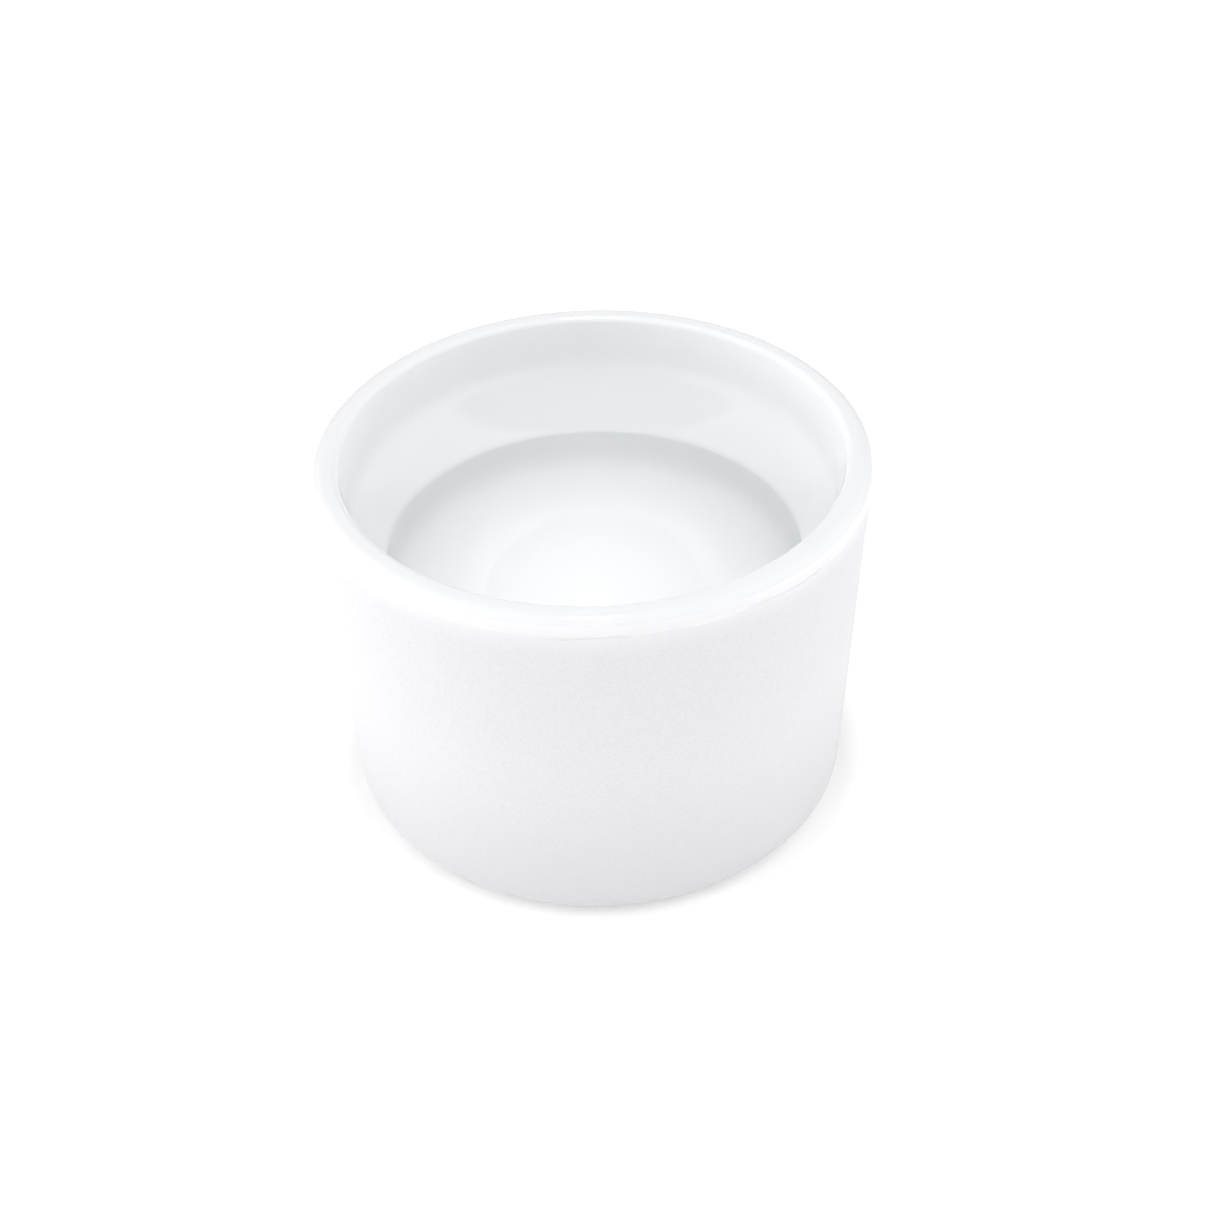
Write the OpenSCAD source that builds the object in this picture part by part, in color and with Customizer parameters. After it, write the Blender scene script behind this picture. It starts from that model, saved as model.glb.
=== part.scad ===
// Low cylindrical porcelain crucible. The body is bare biscuit porcelain, and a
// clear glaze lines the inside, rolls over the rim and stops just below it.
// Millimetres. The origin is the middle of the foot, +Z points out of the mouth.

/* [Outside] */
// Diameter over the glazed rim
rim_d = 38; // [37.4:0.2:42]
// Height from the foot to the top of the glazed rim
body_h = 27.2; // [26:0.2:34]
// Diameter of the bare wall carried down to the table
base_d = 35.4; // [34:0.2:37]
// Radius of the rounded bottom edge
base_round = 2.7; // [1.5:0.1:4]

/* [Rim] */
// Width of the glazed rim from outside to inside
rim_wall = 1.9; // [1.8:0.1:2.6]
// Radius of the outer edge of the rim, under the glaze
rim_outer_round = 0.85; // [0.6:0.05:0.9]
// Radius of the inner edge of the rim, under the glaze
rim_inner_round = 0.3; // [0.2:0.05:0.4]
// Height of the upright collar below the top of the rim
collar_h = 2.2; // [1.8:0.1:2.8]

/* [Cavity] */
// Radius where the upright throat turns into the sloping wall
throat_r = 16.6; // [16.4:0.1:16.8]
// Depth of that turn below the rim
throat_depth = 3.7; // [3.3:0.1:4.1]
// Radius of the soft shoulder above the bowl
shoulder_r = 14.55; // [14.3:0.05:14.8]
// Depth of the shoulder below the rim
shoulder_depth = 8.1; // [7.7:0.1:8.5]
// Radius of the bowl where its wall would meet its floor, before the fillet
bowl_r = 13.25; // [13:0.05:13.6]
// Depth of that corner below the rim
bowl_depth = 19.8; // [19:0.1:20.6]
// Radius of the wide fillet that makes the bowl
bowl_round = 10.9; // [7:0.1:11]

/* [Glaze] */
// Thickness of the fired glaze
glaze_t = 0.15; // [0.1:0.01:0.2]
// How far the glaze runs down the outside from the top of the rim
glaze_drop = 1.5; // [1.2:0.1:1.7]

/* [Foot] */
// Radius of the shallow recess inside the foot ring
recess_r = 12.4; // [9:0.1:13]
// Depth of the recess
recess_h = 1; // [0.4:0.1:2]

/* [Hidden] */

$fn = 96;
arc_step = 7.5;         // largest turn between two points of a rounded corner
throat_round = 5;       // soft bend from the throat into the sloping wall
shoulder_round = 0.45;  // soft edge of the shoulder
collar_fade = 1.4;      // the collar runs out into the leaning wall over this height
collar_round = 4;       // soft bends at both ends of that stretch
floor_dish = 0.4;       // the floor falls this much towards its middle
recess_slope = 1.2;     // the side of the recess leans in by this much

rim_z = body_h - glaze_t;
rim_r = rim_d / 2 - glaze_t;
mouth_r = rim_d / 2 - rim_wall + glaze_t;
foot = [base_d / 2, 0, base_round];
wall_lean = (rim_r - foot.x) / rim_z;

// The outer wall leans out from the foot to a low collar under the rim.
collar_z = rim_z - collar_h - collar_fade;
outside = [
    foot,
    [foot.x + wall_lean * collar_z, collar_z, collar_round],
    [rim_r, rim_z - collar_h, collar_round],
];

// The glazed part of the section, each corner as [radius, height, rounding]:
// rim, mouth, throat, shoulder, bowl and the middle of the floor.
glazed = [
    [rim_r, rim_z, rim_outer_round],
    [mouth_r, rim_z, rim_inner_round],
    [throat_r, rim_z - throat_depth, throat_round],
    [shoulder_r, rim_z - shoulder_depth, shoulder_round],
    [bowl_r, rim_z - bowl_depth, bowl_round],
    [0, rim_z - bowl_depth - floor_dish, 0],
];

// The underside: the recess and the flat of the foot ring.
underside = [
    [0, recess_h, 0],
    [recess_r - recess_slope, recess_h, 0],
    [recess_r, 0, 0],
];

// Where the glaze stops, a point on the collar.
glaze_end = [rim_r, body_h - glaze_drop, 0];

function unit(v) = v / norm(v);
function way(a, b) = unit([b.x - a.x, b.y - a.y]);
function side(d) = [d.y, -d.x];
function turn(d, e) = sign(d.x * e.y - d.y * e.x);

// Moves an open outline by t towards its right-hand side, keeping its corners sharp.
function moved(c, t) = [
    for (i = [0 : len(c) - 1])
        let (
            d = way(c[max(i, 1) - 1], c[max(i, 1)]),
            e = i == len(c) - 1 ? d : way(c[i], c[i + 1]),
            n = side(d),
            m = side(e),
            s = (n + m) / (1 + n * m)
        )
            [c[i].x + t * s.x, c[i].y + t * s.y, c[i].z == 0 ? 0 : c[i].z + t * turn(d, e)]
];

// Rounds each corner of an open outline with an arc of the radius it carries.
function rounded(c) = [
    for (i = [0 : len(c) - 1])
        let (p = [c[i].x, c[i].y])
            if (c[i].z == 0) p
            else
                let (
                    d = way(c[i - 1], c[i]),
                    e = way(c[i], c[i + 1]),
                    swing = acos(d * e),
                    back = c[i].z * tan(swing / 2),
                    left = turn(d, e),
                    start = p - back * d,
                    centre = start - left * c[i].z * side(d),
                    steps = ceil(swing / arc_step),
                    first = start - centre
                )
                    each [
                        for (k = [0 : steps])
                            let (a = left * swing * k / steps)
                                centre + [
                                    first.x * cos(a) - first.y * sin(a),
                                    first.x * sin(a) + first.y * cos(a),
                                ]
                    ]
];

function reversed(v) = [for (i = [len(v) - 1 : -1 : 0]) v[i]];

module body() {
    color("#dfe0e3")
        rotate_extrude()
            polygon(rounded(concat(underside, outside, glazed)));
}

module inner_glaze() {
    under = concat([glaze_end], glazed);
    over = moved(under, glaze_t);
    outside_end = [over[0]];
    axis_end = [0, over[len(over) - 1].y, 0];
    skin = concat(outside_end, [for (i = [1 : len(over) - 2]) over[i]], [axis_end]);
    color("#eef3f7")
        rotate_extrude()
            polygon(concat(rounded(under), reversed(rounded(skin))));
}

body();
inner_glaze();
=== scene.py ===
# %% [markdown]
# A low porcelain crucible on a white table. The object is one fired piece of
# ceramic: a bare, matt body with a glossy glaze that lines the inside and rolls
# over the rim. So the crucible has two pieces, and the work is in one turned shape
# and in giving two very pale finishes their depth.
#
# Lengths are in metres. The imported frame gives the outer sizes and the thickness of
# the glaze. The other sizes are measured out from the axis, down from the rim or up
# from the table.

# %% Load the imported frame
import bmesh
import bpy
import math
from mathutils import Matrix, Vector, noise


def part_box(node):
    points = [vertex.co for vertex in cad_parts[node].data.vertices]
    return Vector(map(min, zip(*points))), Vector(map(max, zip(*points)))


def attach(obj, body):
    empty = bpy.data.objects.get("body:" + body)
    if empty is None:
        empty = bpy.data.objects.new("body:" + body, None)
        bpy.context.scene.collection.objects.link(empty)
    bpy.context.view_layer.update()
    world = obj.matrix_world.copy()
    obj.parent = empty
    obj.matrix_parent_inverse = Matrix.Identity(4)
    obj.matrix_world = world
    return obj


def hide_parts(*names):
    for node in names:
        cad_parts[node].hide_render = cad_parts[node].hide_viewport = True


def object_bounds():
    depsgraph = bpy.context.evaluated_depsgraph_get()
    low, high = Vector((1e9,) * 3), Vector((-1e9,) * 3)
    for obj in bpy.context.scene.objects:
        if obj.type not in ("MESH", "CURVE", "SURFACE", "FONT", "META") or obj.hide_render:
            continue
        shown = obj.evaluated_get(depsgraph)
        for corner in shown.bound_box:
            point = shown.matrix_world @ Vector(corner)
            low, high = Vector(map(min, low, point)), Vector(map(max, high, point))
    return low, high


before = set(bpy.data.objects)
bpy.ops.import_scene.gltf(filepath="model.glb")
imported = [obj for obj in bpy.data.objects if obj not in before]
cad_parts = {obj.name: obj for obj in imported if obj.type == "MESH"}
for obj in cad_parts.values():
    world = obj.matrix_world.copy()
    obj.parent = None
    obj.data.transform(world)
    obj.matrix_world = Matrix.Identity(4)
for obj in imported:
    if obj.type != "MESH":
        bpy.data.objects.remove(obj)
cad_low, cad_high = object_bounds()
MM = 0.001

rim_radius = cad_high.x
height = cad_high.z
body_low, body_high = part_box("body")
lining_low, lining_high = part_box("inner_glaze")
glaze_thickness = lining_high.z - body_high.z
print(f"rim radius {rim_radius / MM:.2f} mm, height {height / MM:.2f} mm, "
      f"glaze {glaze_thickness / MM:.2f} mm")

# %% [markdown]
# The body could be cut out of a cylinder, but it is a solid of revolution, so it is
# drawn as one half section and spun, which keeps every radius in one place. Each
# corner of the section is a radius, a height and how much it is rounded. The walk
# goes up the leaning outside to a low upright collar, over the rim and down into the
# cavity: a nearly upright throat, a sloping wall, a soft shoulder, and a bowl that
# is one very wide fillet.

# %% Corners of the section
rim_top = body_high.z
mouth_radius = rim_radius - 1.75 * MM
foot_radius = 17.7 * MM

underside = [
    (0.0, 1.0 * MM, 0.0),
    (11.2 * MM, 1.0 * MM, 0.6 * MM),
    (12.4 * MM, 0.0, 0.5 * MM),
]
bare_radius = rim_radius - glaze_thickness
lean = (bare_radius - foot_radius) / rim_top
collar_low = rim_top - 3.6 * MM
outside = [
    (foot_radius, 0.0, 2.7 * MM),
    (foot_radius + lean * collar_low, collar_low, 4.0 * MM),
    (bare_radius, rim_top - 2.2 * MM, 4.0 * MM),
    (bare_radius, rim_top, 0.85 * MM),
]
cavity = [
    (mouth_radius, rim_top, 0.35 * MM),
    (16.6 * MM, rim_top - 3.7 * MM, 5.0 * MM),
    (14.55 * MM, rim_top - 8.1 * MM, 0.45 * MM),
    (13.25 * MM, rim_top - 19.8 * MM, 10.9 * MM),
    (0.0, rim_top - 20.2 * MM, 0.0),
]
section = underside + outside + cavity
print(f"the section has {len(section)} corners")

# %% [markdown]
# A turned profile is straight stretches joined by true arcs. The arcs could be
# worked out point by point, but the section starts as a chain of plain corners
# instead. A vertex bevel with a profile of 0.5 swaps a corner for an arc, and it
# takes the distance along the edges instead of a radius, so a radius is turned into
# a distance with the half angle of the corner. The long stretches are then
# subdivided, because the firing below bends them and needs vertices to move.

# %% Draw a half section
def corner_swing(before, here, after):
    """How far the outline turns at a corner, in radians."""
    a = Vector((here[0] - before[0], here[1] - before[1]))
    b = Vector((after[0] - here[0], after[1] - here[1]))
    return a.angle(b)


def draw_section(corners, longest=0.7 * MM, turn_per_step=math.radians(5)):
    """A bmesh with one open outline in the XZ plane, its corners rounded."""
    bm = bmesh.new()
    chain = [bm.verts.new((r, 0.0, z)) for r, z, _ in corners]
    for a, b in zip(chain, chain[1:]):
        bm.edges.new((a, b))
    for i in range(1, len(corners) - 1):
        rounding = corners[i][2]
        if rounding == 0.0:
            continue
        swing = corner_swing(corners[i - 1], corners[i], corners[i + 1])
        bmesh.ops.bevel(
            bm, geom=[chain[i]], affect="VERTICES", offset_type="OFFSET",
            offset=rounding * math.tan(swing / 2),
            segments=max(2, math.ceil(swing / turn_per_step)),
            profile=0.5, material=-1)
    for edge in [e for e in bm.edges if e.calc_length() > longest]:
        cuts = math.ceil(edge.calc_length() / longest) - 1
        bmesh.ops.subdivide_edges(bm, edges=[edge], cuts=cuts)
    return bm


# %% [markdown]
# A full spin with use_merge closes the last step onto the first. Where an end of the
# section lies on the axis, all its copies fall on one point, and merging the doubles
# closes that pole. The normals are then recalculated, because a spin can turn a
# shape inside out.

# %% Spin a section into a skin
AROUND = 288


def spin_section(bm):
    bmesh.ops.spin(
        bm, geom=bm.verts[:] + bm.edges[:], cent=(0, 0, 0), axis=(0, 0, 1),
        dvec=(0, 0, 0), angle=math.tau, steps=AROUND, use_merge=True,
        use_normal_flip=False, use_duplicate=False)
    bmesh.ops.remove_doubles(bm, verts=bm.verts[:], dist=0.002 * MM)
    bmesh.ops.recalc_face_normals(bm, faces=bm.faces[:])


# %% [markdown]
# Nothing that has been through a kiln is perfectly round. The rim's radius swings by
# about a tenth of a millimetre to either side, and the foot's hardly at all. A
# displacement texture could do this too, but one rule that is written out moves the
# vertices of both pieces alike, so the glaze stays on the body that it is fused to.

# %% Kiln warp
WARP = 0.10 * MM
WARP_TURN = math.radians(35)
SLOW_WAVE = 0.02 * MM
SLOW_LENGTH = 9 * MM


def warped(point):
    """Where a point of the crucible ends up after firing."""
    reach = math.hypot(point.x, point.y)
    if reach < 0.5 * MM:
        return point
    angle = math.atan2(point.y, point.x)
    share = (point.z / height) ** 2 * reach / rim_radius
    out = WARP * share * math.cos(2 * (angle - WARP_TURN))
    out += 0.3 * WARP * share * math.cos(3 * angle + 1.1)
    slow = noise.noise(point / SLOW_LENGTH) * SLOW_WAVE
    scale = 1 + (out + slow * share) / reach
    return Vector((point.x * scale, point.y * scale, point.z))


def fire(bm):
    for v in bm.verts:
        v.co = warped(v.co)


# %% [markdown]
# Glaze runs thin before it stops, and the line where it stops wanders. So the last
# half millimetre of the skin is pressed down onto the collar, and its edge moves up
# and down a little on the way round. Only points on the outside are moved: they are
# the ones as far from the axis as the bare wall.

# %% The edge of the glaze
FEATHER = 0.5 * MM
GLAZE_END = height - 1.5 * MM
THIN_EDGE = 0.08          # how much of the thickness is left at the very edge
WANDER = 0.3 * MM
WANDER_LENGTH = 4 * MM


def feathered(point):
    """Thins the glaze towards its lower edge and lets that edge wander."""
    reach = math.hypot(point.x, point.y)
    share = (point.z - GLAZE_END) / FEATHER
    if share >= 1.0 or reach < bare_radius - 0.01 * MM:
        return point
    ease = share * share * (3 - 2 * share)
    excess = max(0.0, reach - bare_radius)
    scale = (reach - excess + excess * (THIN_EDGE + (1 - THIN_EDGE) * ease)) / reach
    around = Vector((point.x, point.y, 0)) / WANDER_LENGTH
    wander = noise.noise(around) * WANDER * (1 - share)
    return Vector((point.x * scale, point.y * scale, point.z + wander))


# %% [markdown]
# Each finished bmesh becomes one object with smooth shading. It rides on the
# crucible's only body, and the imported node that it stands for is hidden. Its
# material is appended where that material is made.

# %% Make an object of a skin
def finish_piece(name, bm, cad_node):
    """Makes the object, shades it smooth and hides the imported node it stands for."""
    mesh = bpy.data.meshes.new(name)
    bm.to_mesh(mesh)
    bm.free()
    mesh.polygons.foreach_set("use_smooth", [True] * len(mesh.polygons))
    piece = bpy.data.objects.new(name, mesh)
    bpy.context.scene.collection.objects.link(piece)
    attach(piece, "root")
    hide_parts(cad_node)
    print(f"{name}: {len(mesh.vertices)} vertices, {len(mesh.polygons)} faces")
    return piece


# %% [markdown]
# The body is the whole section, from the middle of the underside, round the foot
# and the rim, to the middle of the bowl. Spun, it is one closed solid.

# %% The biscuit body
bm = draw_section(section)
spin_section(bm)
fire(bm)
biscuit_body = finish_piece("biscuit_body", bm, "body")

# %% [markdown]
# The glaze could be a second finish on the body's inner faces, but it is its own
# piece here, a skin about a seventh of a millimetre thick with an edge of its own.
# It starts as the same section from just below the rim to the middle of the cavity,
# so it fits by construction, and solidify gives it its thickness. The normals are
# first turned to point up, out of the clay, and a negative thickness makes the bmesh
# operator grow the skin along them.

# %% The glaze lining
glazed = [(bare_radius, GLAZE_END, 0.0), outside[-1]] + cavity
bm = draw_section(glazed)
spin_section(bm)
if sum(f.normal.z * f.calc_area() for f in bm.faces) < 0:
    bmesh.ops.reverse_faces(bm, faces=bm.faces[:])
bmesh.ops.solidify(bm, geom=bm.faces[:], thickness=-glaze_thickness)
bmesh.ops.recalc_face_normals(bm, faces=bm.faces[:])
for v in bm.verts:
    v.co = feathered(v.co)
fire(bm)
glaze_lining = finish_piece("glaze_lining", bm, "inner_glaze")

# %% [markdown]
# Both finishes are nearly white, so what tells them apart is small. The bare
# biscuit is nearly neutral, matt and finely grained. The glaze is smooth, glossy and
# a little bluer. All patterns are read from object coordinates, in metres. The
# helpers let a material read like a recipe: put adds one node, feeds its inputs and
# gives back its output, ready to be an input of the next.

# %% Node helpers
def new_material(name):
    material = bpy.data.materials.new(name)
    material.use_nodes = True
    tree = material.node_tree
    return material, tree, tree.nodes["Principled BSDF"]


def feed(tree, node, inputs):
    """Sets inputs by name or number, each to a constant or to another output."""
    for key, value in inputs.items():
        if isinstance(value, bpy.types.NodeSocket):
            tree.links.new(value, node.inputs[key])
        else:
            node.inputs[key].default_value = value


def put(tree, kind, inputs, output=0, **settings):
    node = tree.nodes.new(kind)
    for key, value in settings.items():
        setattr(node, key, value)
    feed(tree, node, inputs)
    return node.outputs[output]


def rise(tree, value, low, high, top=1.0):
    """0 below low, top above high, with a smooth rise between them."""
    return put(tree, "ShaderNodeMapRange", {
        "Value": value, "From Min": low, "From Max": high, "To Max": top,
    }, interpolation_type="SMOOTHSTEP")


def mixed(tree, share, first, second):
    """A colour mix; the colour sockets are numbers 6 and 7, the result is 2."""
    return put(tree, "ShaderNodeMix", {0: share, 6: first, 7: second}, 2, data_type="RGBA")


def times(tree, first, second):
    return put(tree, "ShaderNodeMath", {0: first, 1: second}, operation="MULTIPLY")


def grey(value, blue=1.0):
    return (value, value, value * blue, 1)


def place_of(tree):
    """Object position, its height and its distance from the axis."""
    place = put(tree, "ShaderNodeTexCoord", {}, "Object")
    up = put(tree, "ShaderNodeSeparateXYZ", {"Vector": place}, "Z")
    flat = put(tree, "ShaderNodeVectorMath", {0: place, 1: (1, 1, 0)}, operation="MULTIPLY")
    reach = put(tree, "ShaderNodeVectorMath", {0: flat}, "Value", operation="LENGTH")
    return place, up, reach


# %% [markdown]
# The biscuit's grain is about a seventh of a millimetre. An image could carry it,
# but a noise in three dimensions has no seam on a turned shape. The same noise
# drives tone and bump, so the dark grains are the low ones. The clay also has
# painted light: a painted glow makes it paler just under the rim, and painted
# shade makes it darker towards the foot.

# %% Bare biscuit porcelain
# Heights of the painted glow under the rim and of the painted shade towards the foot.
PAINTED_GLOW_FROM, PAINTED_GLOW_TO = height - 3.2 * MM, height - 0.9 * MM
PAINTED_SHADE_FROM, PAINTED_SHADE_TO = 15.0 * MM, 0.5 * MM

biscuit, tree, shader = new_material("bare_biscuit")
place, up, reach = place_of(tree)
grain = put(tree, "ShaderNodeTexNoise",
            {"Vector": place, "Scale": 6500.0, "Detail": 3.0, "Roughness": 0.65})
tone = mixed(tree, rise(tree, grain, 0.3, 0.7), grey(0.785, 1.018), grey(0.84, 1.018))
# Painted glow: the clay is paler just under the rim.
painted_rim_glow = rise(tree, up, PAINTED_GLOW_FROM, PAINTED_GLOW_TO)
tone = mixed(tree, times(tree, painted_rim_glow, 0.85), tone, grey(0.91, 1.015))
# Painted shade: the clay is darker towards the foot.
painted_foot_shade = rise(tree, up, PAINTED_SHADE_FROM, PAINTED_SHADE_TO)
tone = mixed(tree, times(tree, painted_foot_shade, 0.6), tone, grey(0.64, 1.018))
bump = put(tree, "ShaderNodeBump", {"Strength": 0.3, "Distance": 0.00003, "Height": grain})
feed(tree, shader, {"Base Color": tone, "Roughness": 0.6, "Specular IOR Level": 0.3,
                    "Normal": bump})
biscuit_body.data.materials.append(biscuit)
print(f"{biscuit.name}: {len(tree.nodes)} nodes")

# %% [markdown]
# The glaze is painted nearly neutral on the rim and a little bluer in the cavity. A
# band just under the shoulder is painted darker, as painted shade below the
# shoulder's edge. On the outside it runs dry before its edge: it takes the tone of
# the biscuit under it, which is the painted glow under the rim, and loses its gloss.
# A slow noise gives it the faint waviness that fired glaze has.

# %% Clear glaze
RIM_GLAZE = (0.882, 0.887, 0.90, 1)
DEEP_GLAZE = (0.876, 0.893, 0.903, 1)
WAVE_GLAZE = (0.885, 0.898, 0.907, 1)
SHOULDER_SHADE_GLAZE = (0.71, 0.732, 0.747, 1)
shoulder_top = rim_top - 8.1 * MM

glaze, tree, shader = new_material("clear_glaze")
place, up, reach = place_of(tree)
flow = put(tree, "ShaderNodeTexNoise", {"Vector": place, "Scale": 190.0, "Detail": 1.5})
deep = rise(tree, up, rim_top - 1.5 * MM, rim_top - 5.0 * MM)
tone = mixed(tree, deep, RIM_GLAZE, DEEP_GLAZE)
tone = mixed(tree, rise(tree, flow, 0.3, 0.7, 0.5), tone, WAVE_GLAZE)
outer_side = rise(tree, reach, rim_radius - 1.3 * MM, rim_radius - 1.1 * MM)
low_down = rise(tree, up, height - 0.25 * MM, height - 0.7 * MM)
dry = times(tree, outer_side, low_down)
# The dry edge takes the biscuit's tone under the rim, a painted glow.
tone = mixed(tree, dry, tone, grey(0.91, 1.015))
# Painted shade: a darker band just under the shoulder.
painted_shoulder_shade = times(tree, rise(tree, up, shoulder_top - 3.6 * MM, shoulder_top - 1.0 * MM),
               rise(tree, up, shoulder_top + 0.5 * MM, shoulder_top - 0.2 * MM))
inner_side = rise(tree, reach, 15.5 * MM, 15.2 * MM)
painted_shoulder_shade = times(tree, painted_shoulder_shade, inner_side)
tone = mixed(tree, times(tree, painted_shoulder_shade, 0.6), tone, SHOULDER_SHADE_GLAZE)
bump = put(tree, "ShaderNodeBump", {"Strength": 0.06, "Distance": 0.0004, "Height": flow})
feed(tree, shader, {
    "Base Color": tone, "Specular IOR Level": 0.8, "Normal": bump,
    "Roughness": put(tree, "ShaderNodeMapRange", {"Value": dry, "To Min": 0.06, "To Max": 0.5}),
})
glaze_lining.data.materials.append(glaze)
print(f"{glaze.name}: {len(tree.nodes)} nodes")

# %% [markdown]
# The crucible stands on a plain white table, a sheet of 6 metres that glows faintly,
# so that the shadow on it stays light.

# %% The table
bm = bmesh.new()
bmesh.ops.create_grid(bm, x_segments=1, y_segments=1, size=3.0)
mesh = bpy.data.meshes.new("table_top")
bm.to_mesh(mesh)
bm.free()
table_top = bpy.data.objects.new("table_top", mesh)
bpy.context.scene.collection.objects.link(table_top)
table_white, tree, shader = new_material("table_white")
feed(tree, shader, {"Base Color": grey(0.94), "Roughness": 0.9,
                    "Emission Color": grey(1.0), "Emission Strength": 0.2})
table_top.data.materials.append(table_white)

# %% [markdown]
# The camera looks down into the bowl from 38 degrees above the table, near enough
# for some perspective, and is turned about its own axis by a little over a degree.
# Its distance and its aim are shares of the rim's radius.

# %% The camera
CAMERA_ELEVATION = math.radians(38.05)
CAMERA_ROLL = math.radians(1.204)
camera_distance = 7.94 * rim_radius
aim = Vector((0.0413 * rim_radius, 0.0, 0.7131 * rim_radius))
lens_data = bpy.data.cameras.new("studio_camera")
lens_data.sensor_width = 36
lens_data.lens = 62.8
away = Vector((0, -math.cos(CAMERA_ELEVATION), math.sin(CAMERA_ELEVATION)))
camera = bpy.data.objects.new("studio_camera", lens_data)
level_turn = (-away).to_track_quat("-Z", "Y").to_matrix().to_4x4()
camera.matrix_world = (Matrix.Translation(aim + away * camera_distance) @ level_turn
                       @ Matrix.Rotation(-CAMERA_ROLL, 4, "Z"))
bpy.context.scene.collection.objects.link(camera)
bpy.context.scene.camera = camera
print(f"camera {camera_distance / MM:.0f} mm away, {lens_data.lens} mm lens")

# %% [markdown]
# White on white is all a matter of light. Broad panels in front, three high and one
# low, light the near side and reach into the cavity. Narrow bands near the table
# light the outside from the sides and from behind, more strongly from the left, and
# never shine straight onto the floor of the bowl. A small strip right above the
# crucible lights the slopes and the bowl more than the steep walls. The panels and
# the bands are hidden from mirror rays, so the strip is the only light that the
# glaze can mirror.

# %% The lights
def soft_light(name, azimuth, elevation, distance, width, tall, power, mirrored=False):
    """A soft rectangular light; azimuth 0 is the camera's side, 90 is the right."""
    data = bpy.data.lights.new(name, "AREA")
    data.shape = "RECTANGLE"
    data.size, data.size_y = width, tall
    data.energy = power
    a, e = math.radians(azimuth), math.radians(elevation)
    out = Vector((math.sin(a) * math.cos(e), -math.cos(a) * math.cos(e), math.sin(e)))
    light = bpy.data.objects.new(name, data)
    light.location = Vector((0, 0, height * 0.7)) + out * distance
    light.rotation_euler = (-out).to_track_quat("-Z", "Y").to_euler()
    light.visible_glossy = mirrored
    bpy.context.scene.collection.objects.link(light)
    return light


LOW_BAND, BROAD_PANEL = (1.0, 0.3), (0.8, 0.8)
soft_light("overhead_strip", 180, 89.3, 0.5, 0.065, 0.03, 0.9, mirrored=True)
soft_light("front_high_left", -60, 58, 0.9, *BROAD_PANEL, 1.6)
soft_light("front_high", 0, 58, 0.9, *BROAD_PANEL, 2.35)
soft_light("front_high_right", 60, 58, 0.9, *BROAD_PANEL, 1.9)
soft_light("front_low", -10, 22, 0.9, *BROAD_PANEL, 1.0)
soft_light("left_low", -90, 11, 0.9, *LOW_BAND, 3.5)
soft_light("right_low", 90, 11, 0.9, *LOW_BAND, 2.2)
soft_light("back_left", -135, 11, 0.9, *LOW_BAND, 2.0)
soft_light("back_right", 135, 11, 0.9, *LOW_BAND, 1.9)

world = bpy.data.worlds.new("studio_room")
bpy.context.scene.world = world
world.use_nodes = True
world.node_tree.nodes["Background"].inputs["Color"].default_value = (1, 1, 1, 1)
world.node_tree.nodes["Background"].inputs["Strength"].default_value = 0.05
bpy.context.scene.view_settings.view_transform = "Standard"
